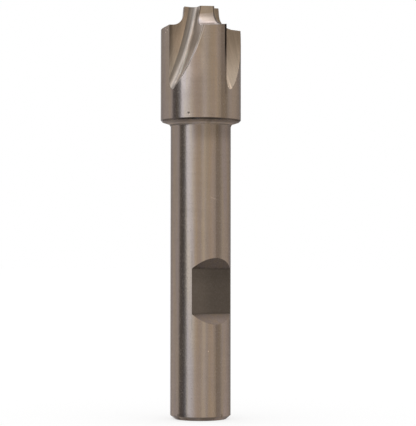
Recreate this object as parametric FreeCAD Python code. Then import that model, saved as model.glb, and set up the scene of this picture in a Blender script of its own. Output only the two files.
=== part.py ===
import FreeCAD, Part
import math
import os

# Corner rounding end mill: one solid bar of tool steel, ground all over.
# It stands on the end of its shank, with the tool's axis on +Z and the cutting tip on top.
# The clamping flat of the shank faces -Y. Millimetres and degrees throughout.
# Angles round the axis start at the clamping flat (-Y) and grow towards +X, which is
# counter-clockwise for someone who looks down on the tip. The tool cuts in that sense.

# The bar: a shank that the holder grips, and a thicker head that cuts
overall_length = 64.82
shank_diameter = 9.525
head_diameter = 12.7
head_length = 18.11
head_chamfer = 0.28
underside_angle = 18.0
underside_fillet = 0.6
shank_chamfer_width = 0.72
shank_chamfer_height = 0.6

# The clamping flat, where the holder's set screw bears: its ends slope out to the round
flat_depth = 1.48
flat_length = 7.05
flat_centre_height = 20.08
flat_end_angle = 42.0

# The concave form that rounds the corner of the work, as it is at the cutting edge
corner_radius = 2.381
nose_diameter = 6.62
nose_length = 3.15
flare_angle = 5.0

# The relief of the form behind each cutting edge. It falls away at once behind the edge and
# then levels off, and its reach is the angle in which it would all be lost at its first slope.
relief_towards_axis = 0.56
relief_towards_shank = 0.38
relief_reach = 18.0

# Four straight flutes, each left by one pass of a grinding wheel
flute_count = 4
first_edge_angle = 9.0
core_radius_at_tip = 1.17
wheel_radius = 45.5
wheel_height_over_tip = 8.5
flute_floor_angle = 18.0
flute_corner_radius = 0.9

# The heel is the back edge of each tooth, and its sharp corner is taken off by hand. The
# break is widest at the shoulder, and its last section has only a share of that width.
heel_break_width = 0.38
heel_break_depth = 0.11
heel_break_length = 8.5
heel_break_last_share = 0.3
heel_break_steps = 8
heel_cut_past = 0.3

# The centre holes that carry the tool between centres while it is ground
centre_angle = 60.0
shank_centre_diameter = 3.2
shank_pilot_diameter = 1.2
shank_pilot_length = 3.4
nose_centre_diameter = 1.5
nose_pilot_diameter = 0.6
nose_pilot_length = 1.6

# How far a cutting tool reaches past the surface that it opens
overrun = 1.0

# Degrees from one section of the relieved form to the next
section_step = 10.0

shank_radius = shank_diameter / 2
head_radius = head_diameter / 2
nose_radius = nose_diameter / 2
tip = overall_length
head_bottom = tip - head_length
shoulder = tip - nose_length
pitch = 360.0 / flute_count

# Where a flute wheel's axis stands: how far out from the tool's axis, and how high
wheel_out = core_radius_at_tip + math.sqrt(wheel_radius ** 2 - wheel_height_over_tip ** 2)
wheel_height = tip + wheel_height_over_tip

ORIGIN = FreeCAD.Vector(0, 0, 0)
AXIS = FreeCAD.Vector(0, 0, 1)


def slope_of(angle):
    """Rise over run of a line at an angle in degrees."""
    return math.tan(math.radians(angle))


def direction(angle):
    """Unit vector square to the axis, at an angle from the clamping flat."""
    turned = math.radians(angle)
    return FreeCAD.Vector(math.sin(turned), -math.cos(turned), 0)


def rounded_wire(corners, roundings):
    """Closed wire through the corners; roundings gives the radius at a corner's number."""
    count = len(corners)
    arrive = list(corners)
    leave = list(corners)
    arcs = {}
    for number, radius in roundings.items():
        corner = corners[number]
        back = (corners[number - 1] - corner).normalize()
        onward = (corners[(number + 1) % count] - corner).normalize()
        half = back.getAngle(onward) / 2
        arrive[number] = corner + back * (radius / math.tan(half))
        leave[number] = corner + onward * (radius / math.tan(half))
        middle = corner + (back + onward).normalize() * (radius / math.sin(half) - radius)
        arcs[number] = Part.Arc(arrive[number], middle, leave[number]).toShape()
    edges = []
    for number in range(count):
        if number in arcs:
            edges.append(arcs[number])
        edges.append(Part.makeLine(leave[number], arrive[(number + 1) % count]))
    return Part.Wire(edges)


def turned(outline, roundings):
    """Revolve a closed outline of (radius, height) points round the tool's axis."""
    corners = [direction(0) * radius + AXIS * height for radius, height in outline]
    return Part.Face(rounded_wire(corners, roundings)).revolve(ORIGIN, AXIS, 360)


def blank():
    """The turned bar: chamfered shank end, shank, sloped underside of the head, head.

    The shank's round face is drawn in two stretches that meet at the clamping flat's upper
    end, so that each of them is whole all round at the middle of its length.
    """
    neck = head_bottom - (head_radius - head_chamfer - shank_radius) * slope_of(underside_angle)
    flat_top = flat_centre_height + flat_length / 2 + flat_depth / slope_of(flat_end_angle)
    outline = [
        (0, 0),
        (shank_radius - shank_chamfer_width, 0),
        (shank_radius, shank_chamfer_height),
        (shank_radius, flat_top),
        (shank_radius, neck),
        (head_radius - head_chamfer, head_bottom),
        (head_radius, head_bottom + head_chamfer),
        (head_radius, tip),
        (0, tip),
    ]
    return turned(outline, {outline.index((shank_radius, neck)): underside_fillet})


def relief_share(behind):
    """Share of the full relief, some degrees behind a cutting edge; below 0 ahead of it."""
    turns = behind / relief_reach
    return turns if turns < 0 else 1 - math.exp(-turns)


def form_section(edge_angle, behind):
    """Section of what the form wheel takes away, some degrees behind a cutting edge.

    From the tip down it follows the nose, the concave arc and the shoulder. Nose and
    shoulder flare by a few degrees, so that the arc's ends leave no line in the work.
    """
    flare = slope_of(flare_angle)
    top = nose_length + 2 * overrun
    outside = head_radius + 2 * overrun
    # Where the nose line and the shoulder line would meet without the arc
    root_radius = (nose_radius + nose_length * flare - head_radius * flare ** 2) / (1 - flare ** 2)
    root_height = (head_radius - root_radius) * flare
    outline = [
        (nose_radius - (top - nose_length) * flare, top),
        (root_radius, root_height),
        (outside, (head_radius - outside) * flare),
        (outside, top),
    ]
    side = direction(edge_angle - behind)
    inward = relief_towards_axis * relief_share(behind)
    down = relief_towards_shank * relief_share(behind)
    corners = [side * (radius - inward) + AXIS * (shoulder + height - down) for radius, height in outline]
    return rounded_wire(corners, {1: corner_radius})


def form_cutter(edge_angle):
    """What the form wheel takes from one tooth, as a loft of sections round the axis.

    It starts and ends in the open flutes: ahead of the cutting edge and behind the heel.
    """
    ahead = pitch / 4
    steps = math.ceil(pitch / section_step)
    sections = [form_section(edge_angle, pitch * number / steps - ahead) for number in range(steps + 1)]
    return Part.makeLoft(sections, True, False)


def flute_cutter(edge_angle):
    """The grinding wheel of one flute, a disc whose axis is square to the tooth's face.

    Its flat side leaves the face, in a plane through the tool's axis. Its coned rim leaves
    the flute's floor, and the rounded corner between them leaves the flute's root.
    """
    outward = direction(edge_angle)
    across = direction(edge_angle + 90)
    centre = outward * wheel_out + AXIS * wheel_height
    width = head_radius + overrun
    rim = wheel_radius - width * slope_of(flute_floor_angle)
    corners = [
        centre,
        centre - outward * wheel_radius,
        centre - outward * rim + across * width,
        centre + across * width,
    ]
    return Part.Face(rounded_wire(corners, {1: flute_corner_radius})).revolve(centre, across, 360)


def floor_angle_at(radius, height):
    """Degrees ahead of the cutting edge at which the flute's floor reaches a radius.

    The floor is where a point's distance from the wheel's axis is the wheel's radius, less
    what its cone has lost by then. Halving finds the angle between that face and that floor.
    """
    low, high = 0.0, pitch
    while high - low > 1e-9:
        middle = (low + high) / 2
        out = radius * math.cos(math.radians(middle)) - wheel_out
        across = radius * math.sin(math.radians(middle))
        inside = math.hypot(out, height - wheel_height) + across * slope_of(flute_floor_angle) < wheel_radius
        low, high = (middle, high) if inside else (low, middle)
    return low


def heel_section(edge_angle, height, share):
    """Level triangle over the heel; share is how much of the full break is taken there.

    Its long side cuts from the land to the flute's floor, and runs on a little past both.
    """
    inner = head_radius - heel_break_depth * share
    outer = head_radius + heel_break_width
    floor_angle = floor_angle_at(inner, height)
    land_angle = floor_angle_at(head_radius, height) + math.degrees(heel_break_width * share / head_radius)
    beyond = floor_angle - math.degrees(heel_break_width / head_radius) / 2
    land = direction(edge_angle + land_angle) * head_radius
    floor = direction(edge_angle + floor_angle) * inner
    more = (floor - land) * heel_cut_past
    corners = [land - more, floor + more, direction(edge_angle + beyond) * outer]
    return rounded_wire([corner + AXIS * height for corner in corners], {})


def heel_cutter(edge_angle):
    """What is filed off one heel, from above its shoulder down to where it fades away."""
    top = shoulder + nose_length / 2
    sections = []
    for number in range(heel_break_steps + 1):
        along = number / heel_break_steps
        height = top - (nose_length / 2 + heel_break_length) * along
        share = 1 - (1 - heel_break_last_share) * along
        sections.append(heel_section(edge_angle, height, share))
    return Part.makeLoft(sections, True, False)


def flat_cutter():
    """The block that the clamping flat takes away, with its sloped ends."""
    floor = shank_radius - flat_depth
    outside = shank_radius + overrun
    half = flat_length / 2
    spread = (outside - floor) / slope_of(flat_end_angle)
    outline = [
        (floor, -half),
        (floor, half),
        (outside, half + spread),
        (outside, -half - spread),
    ]
    middle = AXIS * flat_centre_height - direction(90) * shank_diameter
    corners = [middle + direction(0) * out + AXIS * up for out, up in outline]
    return Part.Face(rounded_wire(corners, {})).extrude(direction(90) * 2 * shank_diameter)


def centre_hole(mouth_diameter, pilot_diameter, pilot_length, face, inward):
    """A centre drill's cone and pilot; inward is 1 where the hole goes up, -1 for down."""
    slope = slope_of(centre_angle / 2)
    cone = (mouth_diameter - pilot_diameter) / 2 / slope
    outline = [
        (0, -overrun),
        (mouth_diameter / 2 + overrun * slope, -overrun),
        (pilot_diameter / 2, cone),
        (pilot_diameter / 2, pilot_length),
        (0, pilot_length + pilot_diameter / 2 / slope),
    ]
    return turned([(radius, face + inward * depth) for radius, depth in outline], {})


def end_mill():
    """The bar with its clamping flat, centre holes, flutes and relieved form ground in."""
    cutters = [
        flat_cutter(),
        centre_hole(shank_centre_diameter, shank_pilot_diameter, shank_pilot_length, 0, 1),
        centre_hole(nose_centre_diameter, nose_pilot_diameter, nose_pilot_length, tip, -1),
    ]
    for number in range(flute_count):
        edge_angle = first_edge_angle + number * pitch
        cutters.append(form_cutter(edge_angle))
        cutters.append(flute_cutter(edge_angle))
        cutters.append(heel_cutter(edge_angle))
    body = blank()
    for cutter in cutters:
        body = body.cut(cutter)
    return body


os.makedirs("parts", exist_ok=True)
tool = end_mill()
print("solids:", len(tool.Solids), "valid:", tool.isValid(), "volume in mm3:", round(tool.Volume, 1))
tool.Solids[0].exportStep("parts/end_mill.step")
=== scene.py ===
# %% [markdown]
# # A corner rounding end mill, ground from one bar of tool steel
# The real tool is a single solid, so its whole shape comes from the CAD model, which is loaded
# here as a fixed frame. What is left for Blender is what the eye reads as ground steel: the
# marks that each grinding wheel left, the wear along the edges, painted light and shade in the
# steel's colour, and a studio for the steel to reflect. Bare steel has hardly any look of its
# own, so the studio matters as much as the steel.

# %% Load the frame
import math

import bpy
import numpy as np
from mathutils import Matrix, Vector

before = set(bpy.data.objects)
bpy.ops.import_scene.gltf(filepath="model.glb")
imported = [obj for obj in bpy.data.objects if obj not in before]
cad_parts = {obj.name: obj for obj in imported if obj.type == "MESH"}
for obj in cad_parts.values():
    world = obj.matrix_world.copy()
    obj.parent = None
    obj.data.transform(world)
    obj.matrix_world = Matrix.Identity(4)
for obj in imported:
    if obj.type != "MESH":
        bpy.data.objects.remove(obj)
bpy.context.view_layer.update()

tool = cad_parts["end_mill"]
print("CAD node", tool.name, "has", len(tool.data.polygons), "faces")

# %% [markdown]
# ## The tool's measures
# The marks on the steel follow the shapes that the wheels cut, so the material needs a few of the
# CAD model's measures. They are repeated here in millimetres. The tool's axis is Z, the clamping
# flat of the shank looks along -Y, and angles round the axis start there and grow towards +X.

# %% Measures of the bar
MM = 0.001
DEGREES = math.degrees(1.0)
TIP = 64.82
HEAD_BOTTOM = 46.71
HEAD_RADIUS = 6.35
SHANK_RADIUS = 4.7625
FLAT_DEPTH = 1.48
FLAT_HEIGHT = 20.08
FIRST_EDGE = math.radians(9.0)
PITCH = math.radians(90.0)
print("the head is", round(TIP - HEAD_BOTTOM, 2), "mm long, with", round(math.tau / PITCH), "teeth")

# %% [markdown]
# ## The wheel of a flute
# Each flute is the cut of one grinding wheel, whose axis is square to the tooth's face. The
# wheel's flat side leaves the face, its coned rim leaves the flute's floor, and its rounded
# corner leaves the root between them. With the wheel's own measures, the material can tell these
# three apart without a drawn mask.

# %% Measures of the wheel
WHEEL_RADIUS = 45.5
WHEEL_LIFT = 8.5
CONE_ANGLE = math.radians(18.0)
CORE_RADIUS = 1.17
ROOT_RADIUS = 0.9
WHEEL_CONE = math.tan(CONE_ANGLE)
# The axis stands so far out that the rim just reaches the tool's core at the tip
WHEEL_OUT = CORE_RADIUS + math.sqrt(WHEEL_RADIUS ** 2 - WHEEL_LIFT ** 2)
# The rounded corner touches the flat side and the cone. This is its width, and then how far
# its centre stands from the wheel's axis.
ROOT_WIDTH = ROOT_RADIUS * (1 + math.sin(CONE_ANGLE))
ROOT_SWING = WHEEL_RADIUS - ROOT_RADIUS * (WHEEL_CONE + 1 / math.cos(CONE_ANGLE))
print("the flute wheel's axis is", round(WHEEL_OUT, 2), "mm out from the tool's axis")

# %% [markdown]
# ## The camera
# The tool stands upright and is seen almost level, from a quarter of a metre away and about 30
# degrees to the left of the clamping flat. The long lens keeps the two sides of the shank nearly
# parallel. The camera is tilted up a little and not shifted, as a hand-held one would be. Its
# place was worked out from where the tool's outlines lie in the photograph.

# %% Camera
CAMERA_ANGLE = math.radians(-30.5)
CAMERA_DISTANCE = 255.0
CAMERA_HEIGHT = 24.5
CAMERA_ASIDE = 1.17
CAMERA_TILT = math.radians(1.767)
CAMERA_ROLL = math.radians(0.07)
UP = Vector((0.0, 0.0, 1.0))
to_right = Vector((math.cos(CAMERA_ANGLE), math.sin(CAMERA_ANGLE), 0.0))
to_camera = Vector((math.sin(CAMERA_ANGLE), -math.cos(CAMERA_ANGLE), 0.0))

camera = bpy.data.objects.new("camera", bpy.data.cameras.new("camera"))
camera.data.lens = 136.44
camera.data.sensor_width = 36.0
camera.data.clip_start = 0.01
backward = to_camera * math.cos(CAMERA_TILT) - UP * math.sin(CAMERA_TILT)
place = to_camera * CAMERA_DISTANCE + to_right * CAMERA_ASIDE + UP * CAMERA_HEIGHT
turn = Matrix((to_right, backward.cross(to_right), backward)).transposed()
turn = turn @ Matrix.Rotation(CAMERA_ROLL, 3, "Z")
camera.matrix_world = Matrix.Translation(place * MM) @ turn.to_4x4()
bpy.context.scene.collection.objects.link(camera)
bpy.context.scene.camera = camera
bpy.context.scene.view_settings.view_transform = "Standard"
print("camera at", [round(number, 4) for number in camera.location])

# %% [markdown]
# ## Sums on sockets
# Shader maths is easier to read as sums than as boxes and wires. A `Wire` holds the output of a
# node, and Python's own signs on it add the Math nodes. Every other node comes from `make`.
# Masks are numbers from 0 to 1 that say where something is. `rise`, `fall` and `hump` make them
# from a length or an angle, with soft edges, so that no pixel falls half on a hard step.

# %% Wires
class Wire:
    """The output of a shader node. Python's signs for sums add Math nodes to its tree."""

    def __init__(self, tree, socket=None):
        self.tree = tree
        self.socket = socket

    def make(self, kind, settings=None, sockets=None, output=0):
        """Add a node of any kind: its settings first, then its sockets' values or wires."""
        node = self.tree.nodes.new("ShaderNode" + kind)
        for name, value in (settings or {}).items():
            setattr(node, name, value)
        for key, value in (sockets or {}).items():
            if isinstance(value, Wire):
                self.tree.links.new(value.socket, node.inputs[key])
            else:
                node.inputs[key].default_value = value
        return Wire(self.tree, node.outputs[output] if node.outputs else None)

    def math(self, operation, *values):
        """Add a Math node for an operation on numbers or wires, in the order given."""
        return self.make("Math", {"operation": operation}, dict(enumerate(values)))

    def __add__(self, other):
        return self.math("ADD", self, other)

    def __sub__(self, other):
        return self.math("SUBTRACT", self, other)

    def __rsub__(self, other):
        return self.math("SUBTRACT", other, self)

    def __mul__(self, other):
        return self.math("MULTIPLY", self, other)

    def __pow__(self, other):
        return self.math("POWER", self, other)

    def __truediv__(self, other):
        return self.math("DIVIDE", self, other)

    def __abs__(self):
        return self.math("ABSOLUTE", self)

    __radd__ = __add__
    __rmul__ = __mul__

    def rise(self, low, high):
        """0 below low and 1 above high; between them tt(3 - 2t), where t goes from 0 to 1."""
        settings = {"interpolation_type": "SMOOTHSTEP"}
        return self.make("MapRange", settings, {"Value": self, "From Min": low, "From Max": high})

    def fall(self, low, high):
        """1 below low and 0 above high: 1 minus the rise between them."""
        return 1 - self.rise(low, high)

    def hump(self, low, low_full, high_full, high):
        """0 outside low and high and 1 between the full ones: a rise times a fall."""
        return self.rise(low, low_full) * self.fall(high_full, high)

    def towards(self, other, share):
        """This number where the share is 0, the other where it is 1: this + share of the gap."""
        return self + (other - self) * share

    def parts(self):
        """The three numbers of a vector."""
        return [self.make("SeparateXYZ", sockets={0: self}, output=axis) for axis in range(3)]

    def vector(self, x, y, z):
        """A vector from three numbers."""
        return self.make("CombineXYZ", sockets={0: x, 1: y, 2: z})

    def scaled(self, factor):
        """A vector or a colour, times a number."""
        return self.make("VectorMath", {"operation": "SCALE"}, {0: self, "Scale": factor})

    def dot(self, other):
        """How much of a vector lies along another: the sum of the products of their parts."""
        return self.make("VectorMath", {"operation": "DOT_PRODUCT"}, {0: self, 1: other}, "Value")

    def noise(self, place, scale, detail=2.0):
        """Noise from 0 to 1 about 0.5 at a place, in features of about 1 / scale."""
        return self.make("TexNoise", sockets={"Vector": place, "Scale": scale, "Detail": detail})

    def blend(self, mask, first, second):
        """The first colour where the mask is 0, the second where it is 1."""
        return self.make("Mix", {"data_type": "RGBA"}, {0: mask, 6: first, 7: second}, output=2)


print("sums on sockets:", [name for name in vars(Wire) if not name.startswith("__init")])

# %% [markdown]
# ## The studio
# Ground steel mirrors what stands round it. For a real photograph, a window, white screens and
# black cards stand round the tool, out of the camera's sight. Built as planes, they would be in
# the way when the tool is looked at from another side, and would throw shadows on the floor. So
# they are drawn on the world's backdrop, for glossy rays alone: each is a mask in the direction
# that a mirrored ray takes. A direction is given by its bearing, which is 0 at the camera and
# grows to its right, and by its height over the horizon, both in degrees. Upright faces mirror
# heights from about -5 degrees, at the end of the shank, to about 9 degrees, at the tip.

# %% Bearing and height of each direction
world = bpy.data.worlds.new("studio")
world.use_nodes = True
world.node_tree.nodes.clear()
bpy.context.scene.world = world
room = Wire(world.node_tree)

direction = room.make("TexCoord", output="Generated")
bearing = room.math("ARCTAN2", direction.dot(to_right), direction.dot(to_camera)) * DEGREES
height = room.math("ARCSINE", direction.parts()[2]) * DEGREES
print("bearings and heights come from", len(world.node_tree.nodes), "nodes")

# %% [markdown]
# ## The window
# The bright stripe down the left of the tool is a tall window, from about 60 to 10 degrees to the
# left of the camera. Its outer side is sharp and its inner side fades slowly, as daylight does
# across a wall. It reaches from far below the floor to high up, so that the stripe runs straight
# from end to end. Where the lower shank mirrors it, the window is dimmer and its side is softer,
# as the stripe there is on the real tool, and its side stands a few degrees further in than where
# the head mirrors it.

# %% Window
SIDE_STEP = 4.8
TALL_TOP = (26.0, 36.0)
leaning = bearing - SIDE_STEP * height.fall(1.8, 4.2)
high_light = 1.155 + 0.12 * height.hump(-1.5, 0.5, 4.0, 5.0)
low_light = 1.08 - 0.3 * height.fall(-3.0, 0.5)
high_window = high_light * leaning.rise(-59.5, -56.5)
low_window = low_light * leaning.rise(-60.5, -51.5)
window = low_window.towards(high_window, height.rise(-2.5, 1.0))
window = window * bearing.fall(-50.0, -8.0) * height.fall(*TALL_TOP)
print("the window's side steps", SIDE_STEP, "degrees in, below the head")

# %% [markdown]
# ## Cards beside the tool
# The dark stripe at the left of the tool is a black card beyond the window. Its outer side stands
# a little further out where the shank's end mirrors it. To the right of the camera follow a light
# slit, a narrow gleam and a wide grey card. They give the steel its round look, because each
# upright face then goes from dark to light and back. Two pale cards further round, on the left
# and low on the right, keep the rims of the shank from going dark.

# %% Cards beside the tool
CARD_TOP = (20.0, 34.0)
BLACK_STEP = 3.0
black_side = (bearing + BLACK_STEP * height.fall(-3.0, -0.5)).rise(-92.0, -83.0)
black_card = black_side * leaning.fall(-71.0, -55.0) * height.fall(*CARD_TOP)
black_depth = 0.74 + 0.1 * height.hump(-1.5, 0.3, 1.5, 2.6) - 0.08 * height.hump(2.4, 3.2, 4.2, 5.0)
slit = bearing.hump(1.0, 10.0, 14.0, 25.0) * height.fall(12.0, 30.0)
gleam = bearing.hump(38.0, 45.0, 49.0, 54.0) * height.fall(*CARD_TOP)
grey_card = bearing.hump(49.5, 60.0, 77.0, 94.0) * height.fall(*CARD_TOP)
left_card = bearing.fall(-136.0, -108.0) * height.fall(14.0, 30.0)
left_light = 0.14 + 0.22 * height.fall(-6.0, 5.0)
low_right_card = bearing.hump(95.0, 110.0, 130.0, 150.0) * height.fall(-5.2, -3.4)
print("the studio so far has", len(world.node_tree.nodes), "nodes")

# %% [markdown]
# ## Lights overhead
# The concave form at the tip and the lower end of the clamping flat look upwards, and mirror the
# upper half of the room. There is a wide skylight over the window, a softer light over the
# camera, one behind the tool on the right, and a pale ceiling. A shade card hangs on the right
# between the grey card and the ceiling. The far end of the room is dim, and so is the ground,
# which the head's underside and the chamfers mirror.

# %% Lights overhead
skylight = bearing.hump(-104.0, -84.0, -44.0, -10.0) * height.hump(26.0, 36.0, 64.0, 84.0)
top_light = bearing.hump(-30.0, -10.0, 0.0, 30.0) * height.hump(44.0, 54.0, 62.0, 80.0)
back_light = bearing.rise(84.0, 118.0) * height.rise(36.0, 56.0)
ceiling = height.rise(60.0, 88.0)
shade_card = bearing.rise(12.0, 44.0) * height.hump(8.0, 22.0, 42.0, 66.0) * (1 - back_light)
far_end = bearing.rise(154.0, 164.0) + bearing.fall(-178.0, -172.0)
far_end = far_end * height.hump(-30.0, -16.0, 20.0, 40.0)
ground = height.fall(-62.0, -38.0)
print("the studio so far has", len(world.node_tree.nodes), "nodes")

# %% [markdown]
# ## How bright the studio is
# The bare backdrop has a strength of 1. Lights and pale cards add to it and dark ones take from
# it, so that both still show where two of them overlap. The skylight and the ceiling replace what
# is behind them, because they have a brightness of their own.

# %% Strength of the studio
SKYLIGHT = 1.75
CEILING = 1.1
strength = 1 + window - black_depth * black_card + 0.28 * slit + 0.08 * gleam - 0.385 * grey_card
strength = strength + left_light * left_card + 0.15 * low_right_card
strength = strength - 0.55 * far_end - 0.72 * shade_card
strength = strength * (1 - 0.62 * ground)
strength = strength.towards(SKYLIGHT, skylight)
strength = strength.towards(CEILING, ceiling) + 0.6 * back_light + 0.2 * top_light * (1 - skylight)
print("the studio so far has", len(world.node_tree.nodes), "nodes")

# %% [markdown]
# ## Tones of the room
# The room is warm, and the light from its window is cool, as daylight is beside lamp light. The
# steel takes both over, so the same grey metal looks bluish in the bright stripe and brown beside
# it. Each tone is laid over the ones before it, where its mask is.

# %% Tones
tone = room.blend(bearing.rise(-60.0, 10.0), (1.012, 0.965, 0.98, 1.0), (1.07, 1.0, 0.93, 1.0))
amber = bearing.hump(-26.0, -12.0, -4.0, 6.0) + bearing.hump(22.0, 34.0, 46.0, 60.0)
tones = (
    ("grey card", bearing.hump(52.0, 64.0, 74.0, 86.0), (1.13, 1.0, 0.885, 1.0)),
    ("right of it", bearing.rise(86.0, 100.0), (1.045, 0.962, 0.935, 1.0)),
    ("window", bearing.hump(-75.0, -60.0, -46.0, -14.0), (0.945, 1.0, 1.105, 1.0)),
    ("beside the lights", amber, (1.12, 0.99, 0.87, 1.0)),
)
for name, mask, colour in tones:
    tone = room.blend(mask, tone, colour)
    print("tone of the", name, colour[:3])

# %% [markdown]
# ## The backdrop
# Glossy rays meet the studio that is drawn above. The camera, and what is seen through glass,
# meet plain white. All other rays bring plain white light, which falls on the floor from all
# sides and leaves the soft shadow round the tool's foot.

# %% Backdrop
WHITE = (1.0, 1.0, 1.0, 1.0)
camera_ray = room.make("LightPath", output="Is Camera Ray")
glossy_ray = room.make("LightPath", output="Is Glossy Ray")
glass_ray = room.make("LightPath", output="Is Transmission Ray")
backdrop = room.make("Background", sockets={
    "Color": room.blend(glossy_ray, WHITE, tone),
    "Strength": 1 + (strength - 1) * glossy_ray,
})
daylight = room.make("Background", sockets={"Color": WHITE, "Strength": 1.0})
shown = room.make("MixShader", sockets={0: camera_ray + glossy_ray + glass_ray, 1: daylight, 2: backdrop})
room.make("OutputWorld", sockets={"Surface": shown})
print("the whole studio has", len(world.node_tree.nodes), "nodes")

# %% [markdown]
# ## The floor
# The tool stands on a plain pale sheet. It is wide enough for its far edge to be lost in the
# white behind it. The steel doesn't mirror it, so that the stripes go on down to the shank's end.
# Real white paper would throw much light back on the tool. So this paper is grey, and a glow for
# the camera alone lifts it to the white of the backdrop, which also keeps the shadow on it faint.

# %% Floor
FLOOR_RADIUS = 6.0
FLOOR_CORNERS = 96
angles = np.linspace(0.0, 2.0 * np.pi, FLOOR_CORNERS, endpoint=False)
rim = np.stack((np.cos(angles), np.sin(angles), np.zeros_like(angles)), axis=1) * FLOOR_RADIUS
sheet = bpy.data.meshes.new("floor")
sheet.from_pydata(rim, [], [list(range(len(rim)))])
floor = bpy.data.objects.new("floor", sheet)
floor.visible_glossy = False
bpy.context.scene.collection.objects.link(floor)
print("floor is", 2 * FLOOR_RADIUS, "m across")

# %% Paper of the floor
PAPER_GREY = (0.35, 0.35, 0.35, 1.0)
PAPER_GLOW = 0.66
paper = bpy.data.materials.new("floor_paper")
paper.use_nodes = True
paper.node_tree.nodes.clear()
page = Wire(paper.node_tree)
dull = page.make("BsdfDiffuse", sockets={"Color": PAPER_GREY})
seen = page.make("LightPath", output="Is Camera Ray")
glow = page.make("Emission", sockets={"Strength": seen * PAPER_GLOW})
page.make("OutputMaterial", sockets={"Surface": page.make("AddShader", sockets={0: dull, 1: glow})})
sheet.materials.append(paper)
print("the paper has", len(paper.node_tree.nodes), "nodes")

# %% [markdown]
# ## Where a point of the steel is
# Every face of the tool was cut by a grinding wheel, and each wheel leaves its own marks. The
# material finds out which wheel cut a point from where the point is. Painted masks, or a
# material for each face, would do it too, but a few sums fit all four teeth at once and follow
# the CAD model exactly.

# %% Places on the tool
steel = bpy.data.materials.new("ground_tool_steel")
steel.use_nodes = True
steel.node_tree.nodes.clear()
bar = Wire(steel.node_tree)

spot = bar.make("TexCoord", output="Object").scaled(1.0 / MM)
x, y, z = spot.parts()
radius = (x * x + y * y) ** 0.5
angle = bar.math("ARCTAN2", x, 0 - y)
facing_up = bar.make("TexCoord", output="Normal").parts()[2]
facing_down = 0 - facing_up
print("angles in radians, lengths in millimetres")

# %% [markdown]
# ## Where a point is in its flute
# All four flutes are alike, so a point's angle is counted from the cutting edge that it lies ahead
# of, or up to 4 degrees behind. Then the point is put in the frame of that tooth's face:
# `outward` runs along the face, and `across` is how far the point stands off it. `swing` is its
# distance from the axis of the flute's wheel. On the floor of the flute, swing and what the cone
# has lost by then add up to the wheel's radius, so `past_rim` is 0 there and grows into the
# tooth. In the same way, `from_root` is 0 on the rounded root.

# %% Places in the nearest flute
SLIP = math.radians(4.0)
ahead = bar.math("FLOORED_MODULO", angle - FIRST_EDGE + SLIP, PITCH) - SLIP
outward = radius * bar.math("COSINE", ahead)
across = radius * bar.math("SINE", ahead)
swing = ((outward - WHEEL_OUT) ** 2.0 + (z - (TIP + WHEEL_LIFT)) ** 2.0) ** 0.5
past_rim = swing + across * WHEEL_CONE - WHEEL_RADIUS
from_root = ((across - ROOT_RADIUS) ** 2.0 + (swing - ROOT_SWING) ** 2.0) ** 0.5 - ROOT_RADIUS
print("across is 0 on a tooth's face, past_rim is 0 on a flute's floor")

# %% [markdown]
# ## The faces of the head
# These lengths now tell the faces apart. What lies within a hair, here a few hundredths of a
# millimetre, of a wheel's cut belongs to that wheel. The rest of the head's outside is land, and
# what is left above the shoulder is the concave form with its nose. The soft edges of the masks
# are as narrow as that too, so no mark spills over an edge of the steel.

# %% Faces of the head
HAIR = 0.01
in_head = z.rise(HEAD_BOTTOM + HAIR, HEAD_BOTTOM + 3 * HAIR)
root_side = across.fall(ROOT_WIDTH - 2 * HAIR, ROOT_WIDTH)
beside_root = root_side * swing.rise(ROOT_SWING, ROOT_SWING + 2 * HAIR)
in_flute = past_rim.fall(HAIR, 3 * HAIR) * across.rise(-3 * HAIR, -HAIR) * in_head
in_flute = in_flute * (1 - beside_root * from_root.rise(HAIR, 3 * HAIR))
in_root = in_flute * beside_root
on_face = in_flute * across.fall(0.3, 0.4) * (1 - in_root)
on_floor = in_flute * (1 - on_face) * (1 - in_root)
on_land = radius.rise(HEAD_RADIUS - 2 * HAIR, HEAD_RADIUS - HAIR) * in_head * (1 - in_flute)
in_form = z.rise(61.0, 61.2) * radius.fall(6.2, 6.3) * (1 - in_flute)
print("a flute has a face, a floor, and a rounded root between them")

# %% [markdown]
# ## The flute and the tooth in front
# The light from the left reaches into the flute that the camera looks into, and passes the others
# by. So this flute, and the cutting edge of the tooth to its right, carry details that the others
# don't show, and need masks of their own. `behind_edge` is how far a point lies behind that
# edge: its distance from the axis, times the sine of its angle from the edge.

# %% Flute and tooth in front
FRONT_FLUTE = [math.radians(turn) for turn in (-86.0, -85.0, 8.0, 8.5)]
in_front_flute = in_flute * angle.hump(*FRONT_FLUTE)
near_front_edge = angle.hump(-0.3, -0.2, 0.2, 0.3)
behind_edge = radius * bar.math("SINE", FIRST_EDGE - angle)
print("the steel so far has", len(steel.node_tree.nodes), "nodes")

# %% [markdown]
# ## The clamping flat and the head's underside
# The clamping flat has a plane floor, and two ends that slope out to the round of the shank. The
# floor is found by its depth. The ends differ in whether they look up or down, so their masks
# come from the surface's own direction. The head's underside is found by its height and radius.

# %% Faces of the shank
FLAT_SPAN = (14.0, 14.1, 26.1, 26.2)
in_flat_span = z.hump(*FLAT_SPAN)
on_flat_floor = abs(0 - y - (SHANK_RADIUS - FLAT_DEPTH)).fall(HAIR, 2 * HAIR)
on_upper_slope = facing_down.rise(0.3, 0.4) * in_flat_span
on_lower_slope = facing_up.rise(0.3, 0.4) * in_flat_span
in_flat = on_flat_floor * in_flat_span * (1 - on_upper_slope) * (1 - on_lower_slope)
from_middle = abs(z - FLAT_HEIGHT)
flat_corner = in_flat_span * from_middle.hump(3.25, 3.5, 3.55, 3.75) * radius.fall(4.7, 4.75)
on_underside = radius.rise(4.77, 4.82) * z.hump(45.6, 45.7, HEAD_BOTTOM, HEAD_BOTTOM + HAIR)
on_head_chamfer = z.hump(HEAD_BOTTOM, HEAD_BOTTOM + HAIR, 46.97, 47.0)
print("the steel so far has", len(steel.node_tree.nodes), "nodes")

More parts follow.
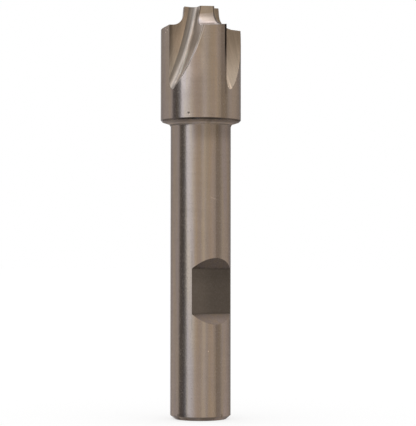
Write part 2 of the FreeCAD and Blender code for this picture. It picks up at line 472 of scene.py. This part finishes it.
# %% [markdown]
# ## Grinding marks
# The round faces turned under their wheel, so their marks run round them. A flute's wheel passed
# along the tool, so its marks are arcs about the wheel's axis. Real marks are scratches of all
# sizes. Drawn one by one they would be too many, so both kinds are noise, pressed together
# across the marks and stretched a long way along them. Broad clouds, long streaks and fine grit
# are the same noise, at other sizes.

# %% Marks
round_marks = bar.noise(bar.vector(x * 0.12, y * 0.12, z * 2.6), 1.6, 4.0)
flute_marks = bar.noise(bar.vector(swing * 2.2, across * 2.2, z * 0.12), 1.5, 4.0)
marks = round_marks.towards(flute_marks, in_flute)
clouds = bar.noise(spot, 0.45, 2.0)
streaks = bar.noise(bar.vector(x, y, z * 0.06), 1.1, 3.0)
grit = bar.noise(spot, 5.0, 2.0)
print("the steel so far has", len(steel.node_tree.nodes), "nodes")

# %% [markdown]
# ## Shades of the steel
# The steel is the same all over, and yet its faces look different. Each wheel left it rougher
# or smoother, which the roughness gives further down. The rest is painted light and shade: each
# kind of face gets a shade, a number about 1 that multiplies the steel's colour, in place of the
# light that it would mirror from the studio and from the tool's own faces. Real scratches are far
# finer than a pixel, and as bumps they would only turn to noise. The list `shades` gathers the
# shades. It starts with the unevenness of the marks, which is strongest in the flutes.

# %% Shade of the marks
unevenness = (0.14 + 0.4 * in_flute) * (marks - 0.5) + (0.12 + 0.12 * on_face) * (clouds - 0.5)
shades = [1 + unevenness + 0.3 * (grit - 0.5)]
print("shades of the steel:", len(shades))

# %% [markdown]
# ## The clamping flat
# The clamping flat was ground with a coarse wheel and left dull, which its roughness gives. Its
# colour carries painted shade: its floor is the darkest face of the tool, a little less so on its
# left and even more so near its upper end, and its sloped ends, and the corners where they start,
# are darker than the round of the shank too. All of that goes by the masks of its faces.

# %% Clamping flat
# Painted shade on the flat's floor, its sloped ends and its corners
flat_shade = 1 - 0.55 * in_flat * (1 - 0.22 * x.fall(-2.6, 1.0))
flat_top_shade = 1 - 0.17 * in_flat * z.rise(20.0, 23.0)
slope_depth = 0.36 + 0.2 * z.rise(15.3, 16.5)
slope_shade = (1 - 0.36 * on_upper_slope) * (1 - slope_depth * on_lower_slope)
shades += [flat_shade, flat_top_shade, slope_shade, 1 - 0.2 * flat_corner]
print("shades of the steel:", len(shades))

# %% [markdown]
# ## The head's underside
# Under the head, the slope and the fillet mirror the shank, the floor and each other. This floor
# isn't mirrored, so they get that light as painted light and shade: light on the slope, less so
# by the head's edge, dark where the fillet runs into the shank, and strongest on the side that the
# photograph shows. The chamfer over the slope gets painted shade. So does the shank just below
# the head, where it lies in the head's own shade, but not on its left, which the window reaches.

# %% Head's underside
LIT_SIDE = math.radians(-30.5)
# The square of a cosine: 1 on the lit side, and 0 a quarter of a turn away from it
front = bar.math("COSINE", angle - LIT_SIDE) ** 2.0
# Painted light on the slope and the fillet, painted shade on the chamfer and below the head
slope_gain = (0.3 + 0.62 * z.fall(46.42, 46.62)) * facing_down.rise(0.62, 0.8)
fillet_gain = 0.1 * facing_down.hump(0.35, 0.6, 0.85, 0.93) - 0.25 * facing_down.hump(0.02, 0.12, 0.3, 0.5)
under_gain = (0.84 + slope_gain + fillet_gain) * (0.78 + 0.74 * front * front) - 1
shaded_side = angle.rise(math.radians(-56.0), math.radians(-40.0))
under_head = z.hump(42.7, 45.2, 45.95, 46.1) * radius.fall(4.8, 4.9) * shaded_side
chamfer_shade = 1 - (0.64 - 0.16 * front ** 4.0) * on_head_chamfer
shades += [1 + on_underside * under_gain, chamfer_shade, 1 - 0.25 * under_head]
print("shades of the steel:", len(shades))

# %% [markdown]
# ## The tooth faces
# The faces are ground last, and again whenever the tool is sharpened. Their colour carries painted
# light, in place of the light that the flute throws back on them: they are lighter than the round
# faces, most of all near the core and beside the root. They get darker towards the cutting edge
# and towards the tip.

# %% Tooth faces
face_gain = 0.42 + 0.2 * radius.fall(3.3, 4.4) - 0.1 * radius.rise(4.8, 6.2) - 0.2 * z.rise(62.4, 64.0)
# Painted light on the face beside the root, and a darkening towards the cutting edge
face_light_by_root = on_face * swing.rise(ROOT_SWING - 1.6, ROOT_SWING - 0.2)
face_light_by_root_gain = 0.15 + 0.2 * z.rise(57.0, 60.0)
face_edge_darkening = on_face * radius.rise(5.4, 6.2) * z.rise(53.0, 60.0)
shades += [1 + on_face * face_gain, 1 + face_light_by_root_gain * face_light_by_root, 1 - 0.45 * face_edge_darkening]
print("shades of the steel:", len(shades))

# %% [markdown]
# ## The floor of the front flute
# This floor carries painted light in bands, in place of the window's reflection and of the light
# that the tooth's face throws back into the flute. From the face outwards, they are a painted
# highlight along the root, a light band where the root runs out into the floor, a lighter floor in
# the lower half, and a strip of painted shade towards the heel. A studio light for each would be
# mirrored by the rest of the tool too, so they are shades. They follow `across`, so that they bend
# with the flute, and they fade towards the tip and where the wheel ran out of the steel.

# %% Floor of the front flute
# A painted highlight along the root, painted light on the floor and painted shade by the heel
root_line = 1.5 * across.hump(0.5, 0.65, 0.75, 1.15)
floor_step = 0.9 * across.rise(0.26, 0.52) + 0.55 * across.rise(0.6, 0.9) - 0.12
low_heel = 0.7 * across.rise(1.3, 1.7) * z.fall(55.2, 57.2)
low_floor = 1.4 * across.rise(0.6, 0.9) * (1 - low_heel) * z.fall(54.0, 59.5)
band_light = 1.3 + 0.6 * z.hump(55.5, 57.0, 57.5, 59.0)
light_band = band_light * across.hump(0.8, 1.05, 1.4, 1.9) * z.hump(53.4, 54.4, 60.2, 61.5)
heel_side_shade = 0.4 * across.rise(2.0, 2.6) * z.hump(54.5, 56.5, 58.0, 59.5)
front_gain = root_line + floor_step + low_floor + light_band - heel_side_shade
front_gain = front_gain * (0.5 + 0.5 * z.rise(52.0, 54.0)) * (1 - 0.35 * z.rise(61.5, 64.0))
print("the steel so far has", len(steel.node_tree.nodes), "nodes")

# %% [markdown]
# ## Roots and the other flutes
# The root is the narrow rounded groove beside the face. In the front flute it gets painted light
# next to the face and in its lower half, with a thin line of painted shade low down, and the very
# end of the flute gets painted shade. The other flutes have no bands, and just get more painted
# light towards their lower ends.

# %% Roots and other flutes
# Painted light in the roots and in the other flutes
front_gain = front_gain + 0.25 * across.fall(0.1, 0.3)
front_gain = front_gain + 0.6 * across.hump(0.06, 0.2, 0.2, 0.5) * z.fall(52.5, 57.0)
other_gain = 0.3 + 1.3 * z.fall(53.0, 61.0) + (0.7 + 0.6 * z.fall(52.0, 53.0)) * in_root
flute_gain = other_gain.towards(front_gain, in_front_flute)
root_gain = 0.6 * across.hump(0.17, 0.3, 0.42, 0.58) * z.fall(55.6, 60.0)
root_gain = root_gain - 0.34 * across.hump(0.52, 0.66, 0.8, 0.98) * z.hump(52.5, 53.2, 55.0, 56.6)
# Painted shade at the very end of the front flute
run_out = in_front_flute * across.rise(0.45, 0.7) * z.fall(51.9, 52.7)
shades += [1 + in_flute * (1 - on_face) * flute_gain, 1 + root_gain * in_root * in_front_flute]
shades += [1 - 0.45 * run_out]
print("shades of the steel:", len(shades))

# %% [markdown]
# ## The concave form
# The form that rounds the corner of the work is ground finest. Its arc bends so tightly that it
# mirrors the whole upper room within a few pixels. To have its light in the right place, it is
# painted light: a shade that follows how far the arc looks up, which makes the form the brightest
# face of the tool. The form is darker in a thin line along each heel, and its nose gets painted
# light on the right.

# %% Concave form
in_arc = in_form * facing_up.hump(0.02, 0.5, 0.99, 0.998)
arc_foot = in_form * facing_up.hump(0.75, 0.95, 0.99, 0.998)
form_heel = in_form * past_rim.fall(0.1, 0.26)
nose_side = in_form * facing_up.fall(0.12, 0.3) * angle.hump(0.0, 0.12, 1.4, 1.6)
# Painted light on the arc, at its foot and on the right of the nose
shades += [1 + 1.75 * in_arc + 0.35 * arc_foot, 1 - 0.65 * form_heel, 1 + 0.28 * nose_side]
print("shades of the steel:", len(shades))

# %% [markdown]
# ## Edges
# Behind the cutting edge of the front tooth runs a dark line, heaviest near the shoulder, which
# goes on over the form. On the land it is made deep enough to carry painted shade too, for the
# shade that falls beside that edge. Along the heel, where the corner was filed off by hand, runs a
# line of painted light low down and painted shade further up, with a faint band of painted light
# beside it. All of these lie close to an edge, so they are measured from it: the dark line by
# `across` and `behind_edge`, the heel by `past_rim`.

# %% Edges
# A dark line behind the front cutting edge, deep enough to carry painted shade too
edge_dark_line = on_land * across.hump(-0.42, -0.3, 0.0, 0.02) * near_front_edge
edge_dark_line = edge_dark_line * (0.2 + 0.35 * z.rise(54.0, 57.0) + 0.37 * z.rise(56.0, 58.5)) * z.rise(50.0, 51.0)
arc_edge_dark_line = 0.3 * behind_edge.fall(0.0, 1.4) + 0.25 * behind_edge.fall(0.0, 0.35)
arc_edge_dark_line = arc_edge_dark_line * in_form * facing_up.rise(0.1, 0.5) * near_front_edge
# Painted light and shade along the heel
at_heel = (1 - in_flute) * in_head * across.rise(0.6, 1.0) * z.hump(52.5, 53.5, 61.7, 61.9)
heel_line = at_heel * past_rim.fall(0.05, 0.2) * (0.3 - 0.75 * z.rise(54.2, 56.4))
heel_band = at_heel * past_rim.fall(0.2, 0.42) * z.rise(54.5, 58.5)
shades += [1 - edge_dark_line, 1 - arc_edge_dark_line, 1 + 0.15 * heel_band + heel_line]
print("shades of the steel:", len(shades))

# %% [markdown]
# ## Spots and a scratch
# The rest of the wear is small and lies where chance put it: a pit, nicks, stains where oil dried,
# and a scratch. Beside it come a few patches of painted light and shade, on the head and at the
# shank's end. All but the scratch are soft ellipses, put where the photograph shows them.
# Scattered noise would be less work, but it would put none of them where the eye looks for them.

# %% Spots
def patch(turn, level, wide, tall):
    """1 near a place on the round faces and 0 outside an ellipse about it.

    The place is an angle in degrees and a height, and the ellipse is two half widths. The
    distances aside and up are divided by them, squared and added, and the sum is 1 at the rim.
    """
    aside = (angle - math.radians(turn)) * radius / wide
    up = (z - level) / tall
    return (aside * aside + up * up).fall(0.2, 1.0)


def patches(*places):
    """The sum of some patches, each given as how strong it is and then as its own place."""
    return sum(strength * patch(*place) for strength, *place in places)


# A pit low on the head, a short scored line to its right, and a stain on the underside
head_marks = patches(
    (1.0, -47.5, 47.7, 0.24, 0.2),
    (0.3, -12.5, 47.35, 0.55, 0.05),
    (0.3, -16.0, 46.5, 0.5, 0.4),
)
# Two dark spots just over the chamfer of the shank's end, and three patches of painted shade
# on and just over the chamfer, beside the left one
end_spots_and_shade = patches(
    (0.5, -76.8, 0.75, 0.35, 0.4),
    (0.55, 14.35, 0.75, 0.22, 0.4),
    (0.22, -62.0, 0.8, 1.3, 0.5),
    (0.6, -86.0, 0.3, 1.0, 0.5),
    (0.45, -70.0, 0.25, 1.3, 0.35),
)
dark_spots = head_marks + end_spots_and_shade
print("the steel so far has", len(steel.node_tree.nodes), "nodes")

# %% [markdown]
# ## Light marks
# A fresh scratch or a nick shows clean steel, and is lighter than what is round it. The scratch
# slants round the shank: it is where a point's height, plus a multiple of its angle, comes close
# to one level, between two angles. The other marks are patches again.

# %% Light marks
SCRATCH_LEVEL = 34.37
SCRATCH_SLANT = 1.8
scratch = abs(z - SCRATCH_LEVEL + angle * SCRATCH_SLANT).fall(0.03, 0.09)
scratch = scratch * angle.hump(-0.23, -0.19, 0.03, 0.09)
# Three nicks in the tooth at the left, near its shoulder
nicks = patches(
    (1.0, -90.25, 60.55, 0.11, 0.16),
    (1.0, -85.9, 60.9, 0.2, 0.1),
    (1.0, -91.1, 61.15, 0.12, 0.1),
)
# The raised rim of the pit, a speck on the shank, and a patch of painted light on the chamfer
# of its end
specks_and_chamfer_light = patches(
    (0.4, -45.9, 47.45, 0.15, 0.12),
    (1.0, -15.1, 10.8, 0.1, 0.1),
    (0.22, -17.0, 0.25, 2.2, 0.35),
)
light_spots = 0.3 * scratch + nicks + specks_and_chamfer_light
# Two patches of painted light on the head, where it mirrors the window
painted_head_light = patches((0.19, -38.0, 55.8, 1.7, 3.4), (0.16, -51.5, 53.6, 1.1, 3.0))
shades += [1 - 0.7 * dark_spots, 1 + 0.9 * light_spots, 1 + painted_head_light]
print("shades of the steel:", len(shades))

# %% [markdown]
# ## The steel's colour
# Hardened tool steel is a grey that leans to brown, and a film of old oil makes it warmer in
# places. Its tint varies little: in long streaks on the shank, browner down in the flutes, and a
# purer grey where the steel is polished. The tints are laid over each other by the masks of the
# faces, and then the shades multiply the result. A colour is scaled as a vector, because a Math
# node would turn it grey.

# %% Colour
BROWN = (0.25, 0.205, 0.158, 1.0)
POLISHED = (0.234, 0.212, 0.2, 1.0)
tint = bar.blend(streaks.rise(0.35, 0.65), (0.242, 0.205, 0.182, 1.0), (0.258, 0.213, 0.168, 1.0))
flute_tint = bar.blend(z.rise(53.0, 61.0), (0.238, 0.21, 0.178, 1.0), BROWN)
tint = bar.blend(in_flute, tint, flute_tint)
tint = bar.blend(in_front_flute * (1 - on_face), tint, (0.234, 0.212, 0.188, 1.0))
tint = bar.blend(in_form * facing_up.fall(0.04, 0.3), tint, (0.252, 0.208, 0.158, 1.0))
tint = bar.blend(in_arc, tint, POLISHED)
tint = bar.blend(in_flat, tint, (0.235, 0.206, 0.18, 1.0))
colour = tint.scaled(math.prod(shades))
print("the steel so far has", len(steel.node_tree.nodes), "nodes")

# %% [markdown]
# ## The steel's gloss
# The gloss is what tells ground steel from paint. The round faces mirror the studio almost
# sharply, the flutes and the flat mirror it as a blur, and the head's underside hardly at all.
# That is its roughness, which goes up from a low number by the masks of the faces. Metal in the
# shader has no dull light of its own, so where dust lies on the round faces, the steel is made a
# little less metallic. The underside and the foot of the arc are made less metallic too, so that
# they look matte and take up the room's plain light, as painted light in place of what they would
# mirror from the tool's own faces. The bump's heights are counted in millionths of a metre, just
# enough for the stripes to have a grain.

# %% Gloss
dust = grit.rise(0.52, 0.7) * (1 - in_flute) * (1 - on_underside) * (1 - in_form)
heights = marks * 0.5 + bar.noise(spot, 0.8, 1.0) * 2.0 + grit * 8.0
relief = bar.make("Bump", sockets={"Height": heights, "Distance": 1e-6})
roughness = 0.135 + 0.06 * marks + 0.33 * (on_face + on_floor) + 0.42 * in_root + 0.25 * in_flat
roughness = roughness + 0.12 * in_form + 0.4 * on_underside + 0.2 * heel_band - 0.03 * on_land
finish = bar.make("BsdfPrincipled", sockets={
    "Base Color": colour,
    "Metallic": 1 - 0.3 * on_underside - 0.5 * arc_foot - 0.3 * dust,
    "Roughness": roughness,
    "Specular Tint": (0.45, 0.45, 0.45, 1.0),
    "Normal": relief,
})
bar.make("OutputMaterial", sockets={"Surface": finish})
for slot in tool.material_slots:
    slot.material = steel
print("the steel has", len(steel.node_tree.nodes), "nodes")

# %% [markdown]
